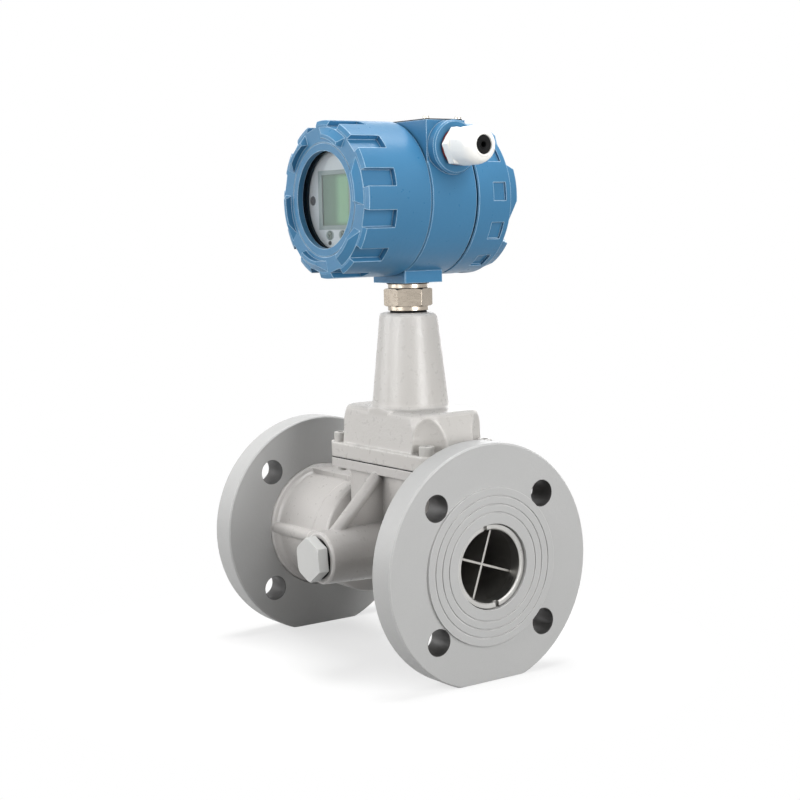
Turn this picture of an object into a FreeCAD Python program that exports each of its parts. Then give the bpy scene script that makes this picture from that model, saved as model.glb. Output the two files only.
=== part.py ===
import FreeCAD, Part
import os
from math import cos, pi, radians, sin, sqrt

# Swirl flow meter with a turning electronics housing on a neck.
# Millimetres and degrees. The origin is the centre of the inlet's raised face,
# +X is the flow, +Z is up, and the display looks along -Y.

# Flanged connections, DN 50 and PN 16
face_to_face = 230.0
flange_d = 165.0
bolt_edge = 20.0
bolt_count = 4
bolt_hole_d = 18.0
flange_thickness = 20.0
raised_face_edge = 9.5
raised_face_height = 2.0
groove_count = 3
groove_pitch = 5.5
groove_width = 1.0
groove_depth = 0.6
foot_cut = 5.0
flange_edge_chamfer = 1.0

# Cast body around the flow line
barrel_d = 82.0
barrel_length = 66.0
barrel_shoulder = 9.0
barrel_split = 49.0
outlet_split = 4.0
waist_d = 58.0
outlet_barrel_d = 78.0
outlet_flare = 26.0
root_fillet = 6.0
fillet_steps = 4
shoulder_steps = 6
land_width = 18.0
land_length = 57.0
land_rise = 2.8
rib_height = 9.0
rib_rise = 4.5
rib_z = 2.0

# Flow passage
throat_d = 33.0
contraction_length = 25.0
throat_past_neck = 14.0
insert_d = 54.0
insert_wall = 1.8
swirler_length = 50.0
straightener_length = 29.0
ring_nut_step = 1.9
ring_nut_lip = 0.5
ring_nut_length = 9.0
ring_nut_recess = 2.0
ring_slot_width = 3.0
ring_slot_depth = 3.0
ring_slot_angle = 100.0
ring_chamfer = 0.8

# Swirler and straightener vanes
swirl_blades = 6
swirl_hub_d = 15.0
swirl_hub_cut = 60.0
swirl_blade_sink = 1.5
swirl_steps = 6
swirl_nose = 12.0
swirl_tail = 6.0
swirl_blade_thickness = 2.0
swirl_blade_length = 34.0
swirl_turn = 62.0
cross_vane_thickness = 1.5
cross_vane_length = 24.0
cross_angle = 71.0
cross_setback = 1.0
straightener_lip = 0.7

# Side boss with its hexagon plug
boss_z = 2.5
boss_face = 79.0
boss_face_d = 36.0
boss_root_d = 41.0
boss_bevel = 1.2
boss_root_y = 18.0
plug_thread_d = 21.0
plug_depth = 16.0
plug_hex = 27.0
plug_head = 7.6
plug_bevel = 1.2
plug_washer_d = 28.0
plug_washer = 1.5
plug_hex_angle = 96.0
gusset_d = 9.0
gusset_web = 5.0
gusset_setback = 9.4
gusset_proud = 2.8
gusset_reach = 3.5
gusset_sink = 5.0
gusset_bevel = 1.5

# Neck pad, bonnet and cone neck
neck_x = 140.0
pad_length = 122.0
pad_width = 63.4
pad_corner = 10.0
pad_thickness = 7.0
joint_z = 62.0
bonnet_gasket_thickness = 0.8
pedestal_inset_x = 16.0
pedestal_inset_y = 5.2
pedestal_corner = 10.0
bonnet_flange_height = 11.0
block_height = 38.0
block_inset_x = 1.5
block_inset_y = 1.8
block_draft_x = 8.5
block_draft_y = 2.4
block_base_corner = 9.0
block_top_corner = 15.0
block_top_round = 4.0
notch_d = 36.0
notch_offset_x = 7.8
notch_offset_y = 4.2
notch_straight = 8.0
notch_taper = 5.2
notch_steps = 5
screw_edge_x = 9.3
screw_edge_y = 7.0
screw_d = 6.0
screw_head_d = 10.4
screw_head = 6.5
screw_head_bevel = 0.6
screw_grip = 10.0
screw_socket = 5.0
screw_socket_angle = 15.0
cone_base_inset = 0.9
cone_top_d = 40.8
cone_height = 66.0
cone_base_fillet = 3.0
cone_shoulder = 2.6
cone_cable_bore_d = 12.0

# Sensor probe
probe_flange_d = 34.0
probe_flange_thickness = 5.0
probe_stem_d = 12.0
probe_tip_z = 4.0
probe_blade_height = 14.0
probe_blade_thickness = 4.0

# Threaded union that carries the housing
nipple_thread_d = 20.0
nipple_thread_length = 14.0
nipple_bore_d = 11.0
neck_seal_d = 25.6
neck_seal_thickness = 1.5
lower_collar_d = 28.4
lower_collar = 2.9
union_hex = 29.3
union_hex_angle = -2.4
union_height = 12.3
union_bevel = 1.4
spigot_d = 19.0
bush_wall = 2.5
bush_collar = 1.9
clip_reach = 3.0
clip_bite = 1.0
spigot_past_clip = 2.5
upper_collar = 3.7
swivel_bush_height = 11.0
clip_thickness = 1.5

# Electronics housing
housing_d = 105.0
front_seam_y = 16.0
rear_seam_y = 21.5
partition_front_y = 11.5
partition_back_y = 7.5
cover_wall = 5.4
thread_neck_wall = 4.1
front_neck_length = 18.0
rear_neck_length = 16.0
base_length = 38.2
base_width = 32.0
base_drop = 4.8
base_corner = 0.6
seam_chamfer = 0.8
top_pad_length = 93.4
top_pad_width = 32.0
top_pad_sink = 1.4
top_plate_thickness = 0.8
top_plate_inset = 1.2
top_screw_edge_x = 3.7
top_screw_edge_y = 2.8
top_screw_head_d = 4.6
top_screw_head = 2.0
top_screw_d = 3.0
top_screw_depth = 6.0
top_pad_corner = 1.0
entry_y = 2.75
entry_rise = 33.0
entry_boss_d = 36.0
entry_boss_proud = 1.5
entry_thread_d = 20.0
entry_bevel = 1.2
entry_root = 10.0

# Screwed covers
front_cover_length = 51.9
rear_cover_length = 30.5
cover_bore_step = 1.3
cover_rim_width = 3.0
cover_rim_drop = 1.5
rear_seam_gap = 1.2
pocket_count = 12
pocket_angle = 15.0
pocket_sweep = 14.0
pocket_depth = 3.9
pocket_length = 23.4
rear_pocket_length = 10.6
rear_pocket_rim = 5.6
rear_pocket_depth = 1.6
crown_count = 6
front_crown_height = 4.2
front_crown_base = (11.8, 2.8)
front_crown_top = (11.4, 9.0)
rear_crown_height = 5.1
rear_crown_base = (11.8, 0.4)
rear_crown_top = (10.5, 1.5)
rear_crown_angle = -19.0
crown_base_gentle = 37.7
crown_base_steep = -6.0
crown_top_gentle = 22.4
crown_top_steep = -2.4
crown_lead = 2.0
seal_section = 2.4
seal_offset = 3.0
rear_wall = 5.0

# Window and display
window_lip = 4.3
window_line = 5.3
window_line_width = 0.6
window_line_depth = 0.5
window_gasket = 0.6
window_gasket_wall = 0.5
glass_edge = 7.5
glass_cover = 5.5
glass_thickness = 3.5
glass_ring_step = 1.6
glass_ring_sight = 0.8
glass_ring_lip = 1.2
glass_ring_length = 5.0
glass_ring_seat = 0.5
gasket_sight = 0.5
dial_gap = 0.4
dial_edge = 1.0
dial_plate_thickness = 0.6
display_body_depth = 11.0
display_body_edge = 1.0
lcd_width = 32.6
lcd_height = 34.0
lcd_frame_width = 42.0
lcd_frame_height = 39.7
lcd_frame_proud = 0.4
lcd_depth = 3.0
lcd_sink = 0.2
key_d = 5.2
key_travel = 0.8
key_proud = 0.5
key_length = 5.0
key_bevel = 0.3
key_places = ((-8.3, -23.6), (7.3, -23.4))
dial_screw_d = 3.4
dial_screw_x = 28.4
dial_screw_head = 0.3
post_d = 6.0
post_count = 3
post_inset = 5.5
board_edge = 3.0
board_thickness = 1.6
board_standoff = 14.5

# Rear terminals
terminal_length = 56.0
terminal_height = 18.0
terminal_depth = 12.0
terminal_count = 6
terminal_step = 3.0
terminal_wall = 1.0
terminal_wall_depth = 2.0
terminal_screw_d = 5.0
terminal_screw_rise = 3.2
terminal_screw_head = 1.4
terminal_slot_width = 0.8
terminal_slot_depth = 0.7

# Cable gland and blanking plug
gland_seal_d = 26.4
gland_seal = 1.8
gland_hex = 24.0
gland_hex_angle = 0.0
gland_hex_length = 7.4
gland_thread_d = 19.0
gland_thread_length = 11.0
gland_bore_d = 14.5
gland_tail = 9.0
gland_bevel = 1.0
cap_gap = 0.4
cap_base_d = 25.4
cap_facets = 6
cap_facet_cut = 0.6
cap_facet_length = 8.0
cap_reach = 30.7
cap_dome = 10.0
cap_rim = 1.2
cap_steps = 5
cap_mouth_d = 13.2
cap_lip = 3.0
insert_hole_d = 8.0
insert_recess = 3.2
insert_length = 15.0
blank_head = 6.0
blank_depth = 9.0

# Clearances between pieces
thread_gap = 0.06
slide_gap = 0.08
locate_gap = 0.05
key_gap = 0.3
screw_gap = 0.3
turn_gap = 0.3
clip_pocket_gap = 1.5
plug_hole_gap = 2.0

V = FreeCAD.Vector
UP = V(0, 0, 1)


def frame(origin, x_dir, z_dir):
    """Placement whose local X and Z lie along the two directions."""
    turn = FreeCAD.Rotation(x_dir, z_dir.cross(x_dir), z_dir, "ZXY")
    return FreeCAD.Placement(origin, turn)


def placed(shape, place):
    """Copy of a shape moved from local axes to the meter's axes."""
    copy = shape.copy()
    copy.Placement = place.multiply(copy.Placement)
    return copy


# Diameters and lengths worked out from the driving sizes
bolt_circle_d = flange_d - 2 * bolt_edge
raised_face_d = bolt_circle_d - 2 * raised_face_edge
insert_bore_d = insert_d - 2 * insert_wall
ring_nut_d = insert_d + 2 * ring_nut_step
ring_nut_bore_d = insert_bore_d - 2 * ring_nut_lip
land_height = barrel_d / 2 + land_rise
rib_reach = barrel_d / 2 + rib_rise
pedestal_length = pad_length - 2 * pedestal_inset_x
pedestal_width = pad_width - 2 * pedestal_inset_y
block_base_length = pad_length - 2 * block_inset_x
block_base_width = pad_width - 2 * block_inset_y
block_top_length = block_base_length - 2 * block_draft_x
block_top_width = block_base_width - 2 * block_draft_y
screw_span_x = pad_length - 2 * screw_edge_x
screw_span_y = pad_width - 2 * screw_edge_y
cone_base_d = block_top_width - 2 * cone_base_inset
swivel_bush_d = spigot_d + 2 * bush_wall
upper_collar_d = swivel_bush_d + 2 * bush_collar
clip_d = spigot_d + 2 * clip_reach
clip_groove_d = spigot_d - 2 * clip_bite
clip_pocket_d = clip_d + 2 * clip_pocket_gap
thread_neck_d = housing_d - 2 * cover_wall
cavity_d = thread_neck_d - 2 * thread_neck_wall
cover_bore_d = thread_neck_d - 2 * cover_bore_step
glass_ring_d = thread_neck_d - 2 * glass_ring_step
glass_d = glass_ring_d - 2 * glass_edge
window_d = glass_d - 2 * glass_cover
window_line_d = window_d + 2 * window_line
glass_ring_bore_d = window_d + 2 * glass_ring_sight
glass_ring_pocket_d = glass_d - 2 * glass_ring_seat
display_body_d = glass_ring_pocket_d - 2 * display_body_edge
dial_d = display_body_d - 2 * dial_edge
post_circle_d = display_body_d - 2 * post_inset
board_d = cavity_d - 2 * board_edge
top_pad_rise = housing_d / 2 - top_pad_sink
entry_boss_reach = housing_d / 2 + entry_boss_proud
top_screw_span_x = top_pad_length - 2 * top_screw_edge_x
top_screw_span_y = top_pad_width - 2 * top_screw_edge_y

# Stations along the flow, up the neck and out from the housing
flange_back = raised_face_height + flange_thickness
barrel_end_x = flange_back + barrel_length
barrel_split_x = flange_back + barrel_split
ring_seat = ring_nut_recess + ring_nut_length
swirler_end = ring_seat + swirler_length
throat_start_x = swirler_end + contraction_length
throat_end_x = neck_x + throat_past_neck
straightener_start = face_to_face - ring_seat - straightener_length
outlet_barrel_x = neck_x + pedestal_length / 2 + outlet_split
ring_bore_d = ring_nut_d + 2 * thread_gap
insert_seat_d = insert_d + 2 * locate_gap
pad_top = joint_z - bonnet_gasket_thickness / 2
bonnet_base = joint_z + bonnet_gasket_thickness / 2
ledge_z = joint_z + bonnet_flange_height
block_top_z = joint_z + block_height
cone_top_z = block_top_z + cone_height
neck_seal_top = cone_top_z + neck_seal_thickness
nut_z = neck_seal_top + lower_collar
nut_top = nut_z + union_height
bush_z = nut_top + turn_gap
housing_base_z = bush_z + upper_collar
bush_top = housing_base_z + swivel_bush_height
clip_z = bush_top + turn_gap
spigot_top = clip_z + clip_thickness + spigot_past_clip
housing_z = housing_base_z + base_drop + housing_d / 2
top_pad_z = housing_z + top_pad_rise
cover_front_y = front_seam_y + front_cover_length
cover_rear_y = rear_seam_y + rear_cover_length
front_cover_seam = front_seam_y + turn_gap
rear_cover_seam = rear_seam_y + rear_seam_gap
window_seat = cover_front_y - window_lip
glass_front = window_seat - window_gasket
glass_back = glass_front - glass_thickness
ring_back = glass_back - glass_ring_length
ring_step = glass_back - glass_ring_lip
dial_y = ring_step - dial_gap
carrier_front = dial_y - dial_plate_thickness
carrier_back = carrier_front - display_body_depth
board_y = partition_front_y + board_standoff
cap_seat = gland_seal + gland_hex_length
cap_start = cap_seat + cap_gap

# Local frames: +z points out of each face
FLOW = frame(V(0, 0, 0), V(0, 1, 0), V(1, 0, 0))
BOSS = frame(V(neck_x, 0, boss_z), V(1, 0, 0), V(0, -1, 0))
NECK = frame(V(neck_x, 0, 0), V(1, 0, 0), UP)
FRONT = frame(V(neck_x, 0, housing_z), V(1, 0, 0), V(0, -1, 0))
REAR = frame(V(neck_x, 0, housing_z), V(-1, 0, 0), V(0, 1, 0))
GLAND = frame(V(neck_x + entry_boss_reach, entry_y, housing_z + entry_rise), V(0, 1, 0), V(1, 0, 0))
BLANK = frame(V(neck_x - entry_boss_reach, entry_y, housing_z + entry_rise), V(0, -1, 0), V(-1, 0, 0))


def rod(d, z0, z1, x=0.0, y=0.0):
    """Round bar along local z, from z0 to z1."""
    return Part.makeCylinder(d / 2, z1 - z0, V(x, y, z0))


def tube(d, bore, z0, z1):
    """Round bar with a through hole."""
    return rod(d, z0, z1).cut(rod(bore, z0 - 1, z1 + 1))


def block(x0, x1, y0, y1, z0, z1):
    """Box given by its limits."""
    return Part.makeBox(x1 - x0, y1 - y0, z1 - z0, V(x0, y0, z0))


def revolved(points):
    """Solid of revolution about local z from (radius, z) corners."""
    corners = [V(r, 0, z) for r, z in points]
    face = Part.Face(Part.makePolygon(corners + corners[:1]))
    return face.revolve(V(0, 0, 0), UP, 360)


def arc_corners(r, z, radius, first, last):
    """Corners along an arc of a turned profile, about a centre (r, z)."""
    corners = []
    for k in range(fillet_steps + 1):
        spot = polar(radius, first + (last - first) * k / fillet_steps)
        corners.append((r + spot.x, z + spot.y))
    return corners


def hexagon(flats, z0, z1, angle):
    """Hexagonal bar along local z with one corner at the angle."""
    radius = flats / sqrt(3)
    corners = [polar(radius, angle + 60 * k, z0) for k in range(7)]
    return Part.Face(Part.makePolygon(corners)).extrude(V(0, 0, z1 - z0))


def polar(radius, angle, z=0.0):
    """Point at a radius and an angle about local z."""
    return V(radius * cos(radians(angle)), radius * sin(radians(angle)), z)


def bevelled_hexagon(flats, z0, z1, angle, bevel, both=True):
    """Hexagon whose corners are turned down to a cone at its ends."""
    corner = flats / sqrt(3)
    low = corner - bevel if both else corner + 1
    points = [(0, z0), (low, z0), (corner + 0.01, z0 + bevel * 0.6)]
    points += [(corner + 0.01, z1 - bevel * 0.6), (corner - bevel, z1), (0, z1)]
    return hexagon(flats, z0, z1, angle).common(revolved(points))


def rounded_wire(length, width, corner, z):
    """Rectangle with rounded corners, centred on local z."""
    a = length / 2
    b = width / 2
    c = corner
    k = c * (1 - sqrt(0.5))
    edges = []
    for sx, sy in ((1, 1), (-1, 1), (-1, -1), (1, -1)):
        p = V(sx * a, sy * (b - c), z)
        q = V(sx * (a - k), sy * (b - k), z)
        r = V(sx * (a - c), sy * b, z)
        run = (p, q, r) if sx * sy > 0 else (r, q, p)
        edges.append(Part.Arc(*run))
    wires = []
    for number, arc in enumerate(edges):
        wires.append(arc.toShape())
        start = arc.value(arc.LastParameter)
        following = edges[(number + 1) % 4]
        wires.append(Part.makeLine(start, following.value(following.FirstParameter)))
    return Part.Wire(wires)


def rounded_prism(length, width, corner, z0, z1):
    """Upright block with rounded corners."""
    return Part.Face(rounded_wire(length, width, corner, z0)).extrude(V(0, 0, z1 - z0))


def edges_at(shape, test):
    """Edges whose centre of mass passes a test."""
    return [edge for edge in shape.Edges if test(edge.CenterOfMass, edge)]


def fused(shapes):
    """One solid from several that touch or overlap."""
    whole = shapes[0].fuse(shapes[1:])
    return whole.removeSplitter()


def save(name, shape):
    """Write one node's STEP file."""
    shape.exportStep("parts/" + name + ".step")


def four_places(span_x, span_y):
    """Corners of a rectangle centred on the neck axis."""
    return [(sx * span_x / 2, sy * span_y / 2) for sx in (-1, 1) for sy in (-1, 1)]


screw_places = four_places(screw_span_x, screw_span_y)
top_places = four_places(top_screw_span_x, top_screw_span_y)
post_places = [polar(post_circle_d / 2, 90 + 360 / post_count * k) for k in range(post_count)]


def flange(face_x, inward):
    """Flange disc with raised face, grooves, bolt holes and a flat foot."""
    back = flange_back
    outer = flange_d / 2
    c = flange_edge_chamfer
    disc = revolved([
        (0, 0),
        (raised_face_d / 2, 0),
        (raised_face_d / 2, raised_face_height),
        (outer - c, raised_face_height),
        (outer, raised_face_height + c),
        (outer, back - c),
        (outer - c, back),
        (0, back),
    ])
    cuts = []
    for k in range(groove_count):
        d = raised_face_d - 2 * groove_pitch * (k + 1)
        cuts.append(tube(d + groove_width, d - groove_width, -1, groove_depth))
    for k in range(bolt_count):
        spot = polar(bolt_circle_d / 2, 180 / bolt_count + 360 / bolt_count * k)
        cuts.append(rod(bolt_hole_d, raised_face_height - 1, back + 1, spot.x, spot.y))
    cuts.append(block(-outer, outer, -outer - 1, foot_cut - outer, -1, back + 1))
    disc = disc.cut(cuts)
    side = frame(V(face_x, 0, 0), V(0, inward, 0), V(inward, 0, 0))
    return placed(disc, side).cut(flow_passage())


def barrel_solid(first, last):
    """Skin of the cast flow line between two stations along the flow."""
    start = flange_back
    end = face_to_face - flange_back
    r_in = barrel_d / 2
    r_waist = waist_d / 2
    r_out = outlet_barrel_d / 2
    f = root_fillet
    profile = arc_corners(r_in + f, start + f, f, -90, -180)
    for k in range(shoulder_steps + 1):
        t = k / shoulder_steps
        r = r_waist + (r_in - r_waist) * (1 + cos(pi * t)) / 2
        profile.append((r, barrel_end_x + barrel_shoulder * t))
    profile.append((r_waist, end - outlet_flare))
    profile += arc_corners(r_out + f, end - f, f, 180, 90)
    profile += [(0, end), (0, start)]
    skin = placed(revolved(profile), FLOW)
    reach = barrel_d
    return skin.common(block(first, last, -reach, reach, -reach, reach))


def pedestal_solid():
    """Column that carries the neck pad, with the pad on top."""
    column = rounded_prism(pedestal_length, pedestal_width, pedestal_corner, 0, pad_top - 1)
    pad = rounded_prism(pad_length, pad_width, pad_corner, joint_z - pad_thickness, pad_top)
    return placed(column.fuse(pad), NECK)


def boss_solid():
    """Side boss, a gently tapered round with a bevelled rim."""
    r = boss_face_d / 2
    cone = revolved([
        (0, boss_root_y),
        (boss_root_d / 2, boss_root_y),
        (r, boss_face - boss_bevel),
        (r - boss_bevel, boss_face),
        (0, boss_face),
    ])
    return placed(cone, BOSS)


def gusset_solid():
    """Thin web with a round bar along its edge, from the boss up to the pad."""
    r = gusset_d / 2
    c = gusset_bevel
    pad_under = joint_z - pad_thickness
    foot = V(0, -(boss_face - gusset_setback), boss_z + boss_face_d / 2)
    head = V(0, -(pad_width / 2 + gusset_proud), pad_under)
    slope = (head - foot).normalize()
    inward = V(0, slope.z, -slope.y)
    low = foot - slope * gusset_sink + inward * r
    high = head + slope * gusset_reach + inward * r
    length = (high - low).Length
    bar = revolved([(0, 0), (r, 0), (r, length - c), (r - c, length), (0, length)])
    bar = placed(bar, frame(low, V(1, 0, 0), slope))
    top = pad_under + pad_thickness / 2
    inside = low + slope * ((top - low.z) / slope.z)
    half = gusset_web / 2
    corners = [low, inside, V(0, 0, top), V(0, 0, boss_z), V(0, low.y, boss_z), low]
    web = Part.Face(Part.makePolygon(corners)).extrude(V(gusset_web, 0, 0))
    web.translate(V(-half, 0, 0))
    whole = bar.fuse(web)
    whole.translate(V(neck_x, 0, 0))
    return whole


def rib_solid(first, last):
    """Stretch of the half-round rib from the inlet flange to the side boss."""
    half = rib_height / 2
    centre_y = -(rib_reach - half)
    bar = Part.makeCylinder(half, last - first, V(first, centre_y, rib_z), V(1, 0, 0))
    web = block(first, last, centre_y, 0, rib_z - half, rib_z + half)
    return bar.fuse(web)


def flow_passage():
    """Bore with seats for the inserts, a throat and a diffuser."""
    r_ring = ring_bore_d / 2
    r_seat = insert_seat_d / 2
    r_bore = insert_bore_d / 2
    r_throat = throat_d / 2
    outlet_seat = face_to_face - ring_seat
    passage = revolved([
        (0, -1),
        (r_ring, -1),
        (r_ring, ring_seat),
        (r_seat, ring_seat),
        (r_seat, swirler_end),
        (r_bore, swirler_end),
        (r_throat, throat_start_x),
        (r_throat, throat_end_x),
        (r_bore, straightener_start),
        (r_seat, straightener_start),
        (r_seat, outlet_seat),
        (r_ring, outlet_seat),
        (r_ring, face_to_face + 1),
        (0, face_to_face + 1),
    ])
    return placed(passage, FLOW)


def land_solid(first, last):
    """Stretch of the flat land on top of the inlet barrel."""
    return block(first, last, -land_width / 2, land_width / 2, 0, land_height)


def inlet_barrel():
    """Round barrel behind the inlet flange, with its flat land."""
    body = fused([
        barrel_solid(flange_back, barrel_split_x),
        land_solid(flange_back, barrel_split_x),
        rib_solid(flange_back, barrel_split_x),
    ])
    return body.cut(flow_passage())


def outlet_barrel():
    """Flared end of the casting, up to the outlet flange."""
    return barrel_solid(outlet_barrel_x, face_to_face - flange_back).cut(flow_passage())


def meter_body():
    """Middle of the casting: waist, side boss and neck pad."""
    body = fused([
        barrel_solid(barrel_split_x, outlet_barrel_x),
        land_solid(barrel_split_x, flange_back + land_length),
        pedestal_solid(),
        boss_solid(),
        gusset_solid(),
        rib_solid(barrel_split_x, neck_x),
    ])
    seat_z = pad_top - probe_flange_thickness
    hole_end = boss_face - plug_depth - plug_hole_gap
    plug_hole = rod(plug_thread_d + 2 * thread_gap, hole_end, boss_face + 1)
    tools = [
        flow_passage(),
        placed(rod(probe_flange_d + 2 * locate_gap, seat_z, pad_top + 1), NECK),
        placed(rod(probe_stem_d + 2 * locate_gap, 0, pad_top), NECK),
        placed(plug_hole, BOSS),
    ]
    for x, y in screw_places:
        hole = rod(screw_d + 2 * thread_gap, pad_top - screw_grip - 1, pad_top + 1, x, y)
        tools.append(placed(hole, NECK))
    return body.cut(tools)


def ring_nut():
    """Threaded ring with two spanner slots, its front face at local z 0."""
    r = ring_nut_d / 2
    c = ring_chamfer
    bore = ring_nut_bore_d / 2
    ring = revolved([
        (bore + c, 0),
        (r - c, 0),
        (r, -c),
        (r, -ring_nut_length),
        (bore, -ring_nut_length),
        (bore, -c),
    ])
    slot = block(bore - 2, r + 1, -ring_slot_width / 2, ring_slot_width / 2, -ring_slot_depth, 1)
    slots = [slot.rotated(V(0, 0, 0), UP, ring_slot_angle + 180 * k) for k in range(2)]
    return ring.cut(slots)


def swirl_blade():
    """One twisted blade of the inlet swirler, from hub to shell."""
    sections = []
    half = swirl_blade_thickness / 2
    inner = swirl_hub_d / 2 - swirl_blade_sink
    outer = (insert_bore_d + insert_d) / 4
    for k in range(swirl_steps + 1):
        z = k * swirl_blade_length / swirl_steps
        turn = swirl_turn * k / swirl_steps
        corners = [V(inner, -half, z), V(outer, -half, z), V(outer, half, z), V(inner, half, z)]
        wire = Part.makePolygon(corners + corners[:1])
        wire.rotate(V(0, 0, 0), UP, turn)
        sections.append(wire)
    return Part.makeLoft(sections, True, True)


def swirl_hub():
    """Streamlined hub: round nose, straight middle and blunt tail."""
    r = swirl_hub_d / 2
    base = swirl_nose
    back = base + swirl_blade_length
    profile = [(0, base - r)]
    profile += arc_corners(0, base, r, -swirl_hub_cut, 0)
    profile += arc_corners(0, back, r, 0, swirl_hub_cut)
    profile.append((0, back + swirl_tail))
    return revolved(profile)


def inlet_swirler():
    """Guide body: shell, streamlined hub and twisted blades."""
    shell = tube(insert_d, insert_bore_d, 0, swirler_length)
    blades = []
    for k in range(swirl_blades):
        blade = swirl_blade()
        blade.translate(V(0, 0, swirl_nose))
        blades.append(blade.rotated(V(0, 0, 0), UP, 360 / swirl_blades * k))
    whole = shell.fuse([swirl_hub()] + blades)
    place = frame(V(ring_seat, 0, 0), V(0, 1, 0), V(1, 0, 0))
    return placed(whole, place)


def flow_straightener():
    """Short tube with crossed flat vanes in the outlet."""
    end = straightener_length
    lip = straightener_lip
    inner = insert_bore_d / 2
    outer = insert_d / 2
    shell = revolved([
        (inner, 0),
        (outer, 0),
        (outer, end - lip),
        (outer - lip * 0.3, end - lip * 0.3),
        (outer - lip, end),
        (inner + lip, end),
        (inner + lip * 0.3, end - lip * 0.3),
        (inner, end - lip),
    ])
    reach = (insert_bore_d + insert_d) / 4
    front = end - cross_setback
    vane = block(
        -reach, reach,
        -cross_vane_thickness / 2, cross_vane_thickness / 2,
        front - cross_vane_length, front)
    vanes = [vane.rotated(V(0, 0, 0), UP, cross_angle + 90 * k) for k in range(2)]
    whole = shell.fuse(vanes)
    place = frame(V(straightener_start, 0, 0), V(0, 1, 0), V(1, 0, 0))
    return placed(whole, place)


def sensor_probe():
    """Pressure probe: seat flange, stem and a flat blade in the throat."""
    seat_z = pad_top - probe_flange_thickness
    half = probe_stem_d / 2
    blade_top = probe_tip_z + probe_blade_height
    probe = rod(probe_flange_d, seat_z, pad_top)
    probe = probe.fuse(rod(probe_stem_d, probe_tip_z, seat_z + 1))
    side = probe_blade_thickness / 2
    flats = [
        block(-half - 1, half + 1, side, half + 1, probe_tip_z - 1, blade_top),
        block(-half - 1, half + 1, -half - 1, -side, probe_tip_z - 1, blade_top),
    ]
    lead = rod(cone_cable_bore_d / 2, pad_top - 2, pad_top + 1)
    return placed(probe.cut(flats + [lead]), NECK)


def bonnet_outline(z0, z1):
    """Pad-shaped slab between two heights."""
    return rounded_prism(pad_length, pad_width, pad_corner, z0, z1)


def bonnet_gasket():
    """Flat joint between the pad and the bonnet."""
    sheet = bonnet_outline(pad_top, bonnet_base)
    holes = [rod(probe_stem_d, pad_top - 1, bonnet_base + 1)]
    for x, y in screw_places:
        holes.append(rod(screw_d + 2 * screw_gap, pad_top - 1, bonnet_base + 1, x, y))
    return placed(sheet.cut(holes), NECK)


def cone_neck():
    """Tapered neck with a flared foot kept within the block's faces."""
    f = cone_base_fillet
    r0 = cone_base_d / 2
    r1 = cone_top_d / 2
    s = cone_shoulder
    root = block_top_z - block_top_round
    neck = revolved([
        (0, root),
        (r0 + f, root),
        (r0 + f, block_top_z),
        (r0 + f * 0.3, block_top_z + f * 0.3),
        (r0, block_top_z + f),
        (r1, cone_top_z - s),
        (r1 - s * 0.3, cone_top_z - s * 0.3),
        (r1 - s, cone_top_z),
        (0, cone_top_z),
    ])
    faces = rounded_prism(block_top_length, block_top_width, block_top_corner, root, cone_top_z)
    return neck.common(faces)


def bonnet_block():
    """Tapered block between the flange and the cone neck, rounded on top."""
    sections = [rounded_wire(block_base_length, block_base_width, block_base_corner, ledge_z - 1)]
    f = block_top_round
    for inset, z in arc_corners(f, block_top_z - f, f, 180, 90):
        length = block_top_length - 2 * inset
        width = block_top_width - 2 * inset
        sections.append(rounded_wire(length, width, block_top_corner - inset, z))
    return Part.makeLoft(sections, True, True)


def notch(x, y):
    """Upright recess beside a screw, arched below the top of the block."""
    r = notch_d / 2
    spring = ledge_z + notch_straight
    profile = [(0, ledge_z), (r, ledge_z)]
    for k in range(notch_steps + 1):
        t = k / notch_steps
        profile.append((r - notch_taper * t ** 2, spring + (block_top_z - spring) * t))
    profile.append((0, block_top_z))
    tool = revolved(profile)
    side_x = notch_offset_x if x > 0 else -notch_offset_x
    side_y = notch_offset_y if y > 0 else -notch_offset_y
    tool.translate(V(x + side_x, y + side_y, 0))
    return tool


def bonnet():
    """Cast bonnet: flange, notched block and cone neck."""
    slab = bonnet_outline(bonnet_base, ledge_z)
    mass = bonnet_block().cut([notch(x, y) for x, y in screw_places])
    whole = fused([slab, mass, cone_neck()])
    tools = [
        rod(cone_cable_bore_d, bonnet_base - 1, cone_top_z + 1),
        rod(nipple_thread_d + 2 * thread_gap, cone_top_z - nipple_thread_length - 1, cone_top_z + 1),
    ]
    for x, y in screw_places:
        tools.append(rod(screw_d + 2 * screw_gap, bonnet_base - 1, ledge_z + 1, x, y))
    return placed(whole.cut(tools), NECK)


def cap_screw(x, y):
    """Socket cap screw standing on the bonnet ledge."""
    r = screw_head_d / 2
    top = ledge_z + screw_head
    c = screw_head_bevel
    head = revolved([(0, ledge_z), (r, ledge_z), (r, top - c), (r - c, top), (0, top)])
    head.translate(V(x, y, 0))
    shank = rod(screw_d, pad_top - screw_grip, ledge_z + 1, x, y)
    socket = hexagon(screw_socket, top - screw_head / 2, top + 1, screw_socket_angle)
    socket.translate(V(x, y, 0))
    return head.fuse(shank).cut(socket)


def boss_plug():
    """Hexagon-headed plug screwed into the side boss."""
    seat = boss_face + plug_washer
    head = bevelled_hexagon(plug_hex, seat, seat + plug_head, plug_hex_angle, plug_bevel, False)
    shank = rod(plug_thread_d, boss_face - plug_depth, seat + 1)
    return placed(head.fuse(shank), BOSS)


def boss_washer():
    """Sealing washer under the plug's head."""
    bore = plug_thread_d + 2 * thread_gap
    return placed(tube(plug_washer_d, bore, boss_face, boss_face + plug_washer), BOSS)


def neck_seal():
    """Flat rubber ring between the cone neck and the nipple."""
    bore = nipple_thread_d + 2 * thread_gap
    return placed(tube(neck_seal_d, bore, cone_top_z, neck_seal_top), NECK)


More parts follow.
